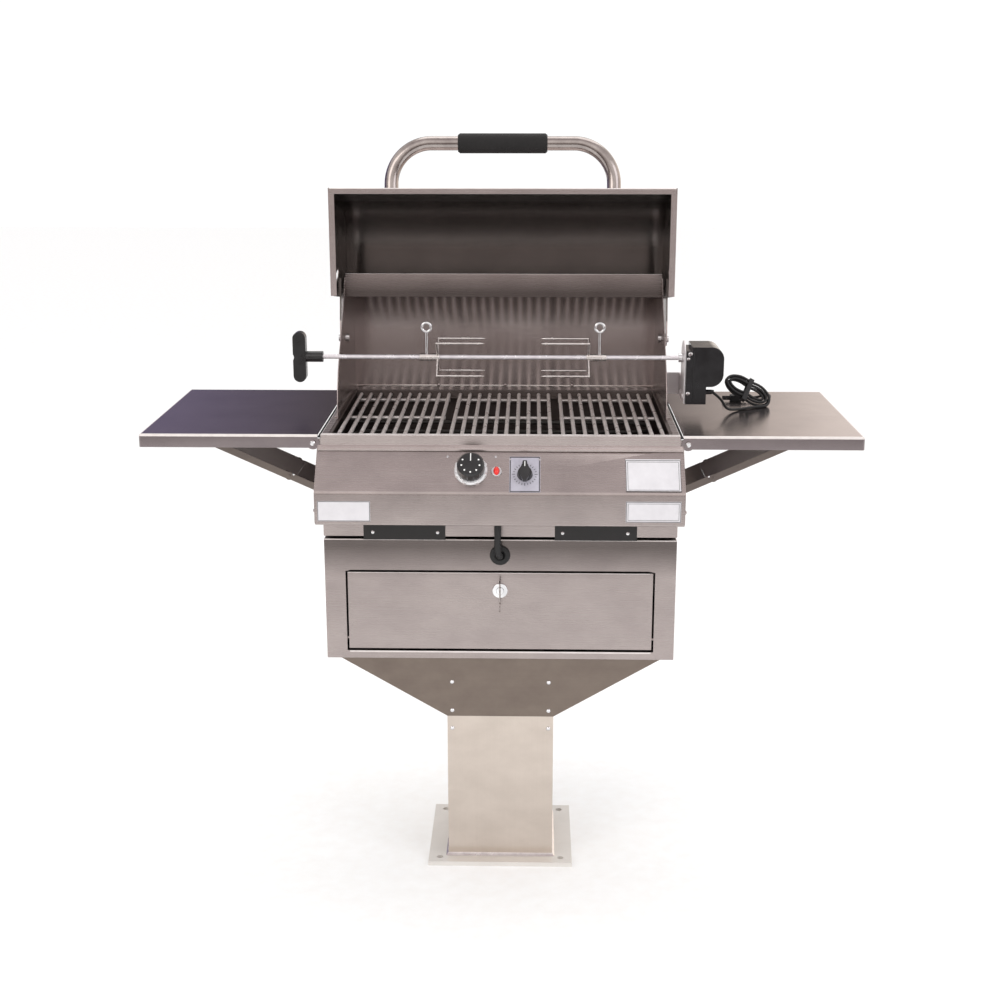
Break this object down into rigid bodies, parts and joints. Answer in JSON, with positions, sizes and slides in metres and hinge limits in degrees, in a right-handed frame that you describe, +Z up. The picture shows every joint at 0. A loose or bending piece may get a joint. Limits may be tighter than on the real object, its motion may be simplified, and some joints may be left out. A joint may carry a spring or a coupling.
{
  "type": "pedestal electric grill",
  "caption": "Electric grill on a bolted pedestal: tilting hood with spit and motor, rod grates, control panel, drop shelves on folding braces and a locking cabinet.",
  "frame": {"origin": "centre of the base plate's underside, which is the centre of its four anchor holes", "axes": "+Z up the pedestal, +Y away from the cook, +X to the cook's right"},
  "size_m": [1.397, 0.5482, 1.4718],
  "materials": {
    "stainless": "brushed",
    "pedestal_steel": "brushed",
    "polished_steel": "polished",
    "chrome": "polished",
    "black_steel": "satin",
    "element_steel": "dull",
    "black_plastic": "satin",
    "black_rubber": "matt",
    "plate": "satin",
    "red_lens": "glossy"
  },
  "bodies": {
    "stand": {"base_plate": "pedestal_steel", "pedestal_column": "pedestal_steel", "splice_sleeve": "pedestal_steel", "funnel": "pedestal_steel", "pedestal_screws": "polished_steel", "cabinet_shell": "stainless", "cord_grommet": "black_rubber", "supply_cord": "black_rubber", "mount_angles": "black_steel", "angle_screws": "polished_steel", "firebox_shell": "stainless", "front_ledge": "stainless", "control_panel": "stainless", "panel_caps": "stainless", "panel_plates": "plate", "firebox_liner": "stainless", "heating_elements": "element_steel", "drip_tray": "stainless", "grate_left": "polished_steel", "grate_middle": "polished_steel", "grate_right": "polished_steel", "cheek_left": "stainless", "cheek_right": "stainless", "rear_housing": "stainless", "knob_skirt": "chrome", "heat_control": "black_plastic", "lamp_bezel": "chrome", "lamp_lens": "red_lens", "timer_plate": "plate", "timer_body": "black_plastic", "hood_pivots": "polished_steel", "motor_bracket": "stainless", "motor_housing": "black_plastic", "shelf_hinges": "stainless"},
    "door": {"cabinet_door": "stainless", "lock_barrel": "chrome"},
    "lock": {"lock_cam": "chrome", "lock_key": "chrome"},
    "heat_knob": {"heat_knob": "black_plastic"},
    "timer_knob": {"timer_knob": "black_plastic"},
    "hood": {"hood_shell": "stainless", "hood_ends": "stainless", "hood_handle": "polished_steel", "hood_grip": "black_rubber"},
    "spit": {"spit_rod": "polished_steel", "spit_handle": "black_plastic", "spit_forks": "polished_steel", "fork_screws": "polished_steel", "spit_hub": "polished_steel"},
    "shelf_left": {"shelf_left": "stainless"},
    "shelf_right": {"shelf_right": "stainless", "motor_cord": "black_rubber", "cord_hank": "black_rubber", "cord_tail": "black_rubber", "cord_tie": "black_plastic", "cord_plug": "black_plastic"},
    "brace_inner_left": {"brace_inner_left": "stainless"},
    "brace_inner_right": {"brace_inner_right": "stainless"},
    "brace_outer_left": {"brace_outer_left": "stainless"},
    "brace_outer_right": {"brace_outer_right": "stainless"}
  },
  "joints": [
    {"name": "hood_hinge", "type": "hinge", "parent": "stand", "child": "hood", "pos_m": [0, 0.214, 1.05], "axis": [1, 0, 0], "range_deg": [0, 90]},
    {"name": "door_hinge", "type": "hinge", "parent": "stand", "child": "door", "pos_m": [0, -0.116, 0.498], "axis": [1, 0, 0], "range_deg": [0, 90]},
    {"name": "lock_turn", "type": "hinge", "parent": "door", "child": "lock", "pos_m": [0, -0.124, 0.601], "axis": [0, -1, 0], "range_deg": [0, 90]},
    {"name": "heat_knob_turn", "type": "hinge", "parent": "stand", "child": "heat_knob", "pos_m": [-0.055, -0.15717, 0.85377], "axis": [0, 0.7495, -0.662], "range_deg": [0, 270]},
    {"name": "timer_knob_turn", "type": "hinge", "parent": "stand", "child": "timer_knob", "pos_m": [0.048, -0.16313, 0.84702], "axis": [0, 0.7495, -0.662], "range_deg": [0, 300]},
    {"name": "spit_turn", "type": "hinge", "parent": "stand", "child": "spit", "pos_m": [0, 0.076, 1.032], "axis": [1, 0, 0], "continuous": true},
    {"name": "shelf_left_fold", "type": "hinge", "parent": "stand", "child": "shelf_left", "pos_m": [-0.361, 0.1, 0.898], "axis": [0, -1, 0], "range_deg": [0, 90]},
    {"name": "brace_inner_left_fold", "type": "hinge", "parent": "stand", "child": "brace_inner_left", "pos_m": [-0.357, -0.0055, 0.79], "axis": [0, -1, 0], "range_deg": [0, 114.32]},
    {"name": "brace_outer_left_fold", "type": "hinge", "parent": "shelf_left", "child": "brace_outer_left", "pos_m": [-0.596, -0.0055, 0.898], "axis": [0, -1, 0], "range_deg": [0, 24.32]},
    {"name": "shelf_right_fold", "type": "hinge", "parent": "stand", "child": "shelf_right", "pos_m": [0.361, 0.1, 0.898], "axis": [0, 1, 0], "range_deg": [0, 90]},
    {"name": "brace_inner_right_fold", "type": "hinge", "parent": "stand", "child": "brace_inner_right", "pos_m": [0.357, -0.0055, 0.79], "axis": [0, 1, 0], "range_deg": [0, 114.32]},
    {"name": "brace_outer_right_fold", "type": "hinge", "parent": "shelf_right", "child": "brace_outer_right", "pos_m": [0.596, -0.0055, 0.898], "axis": [0, 1, 0], "range_deg": [0, 24.32]}
  ],
  "couplings": [
    {"joint": "brace_inner_left_fold", "follows": "shelf_left_fold", "ratio": 1.2702},
    {"joint": "brace_outer_left_fold", "follows": "shelf_left_fold", "ratio": 0.27019},
    {"joint": "brace_inner_right_fold", "follows": "shelf_right_fold", "ratio": 1.2702},
    {"joint": "brace_outer_right_fold", "follows": "shelf_right_fold", "ratio": 0.27019}
  ]
}
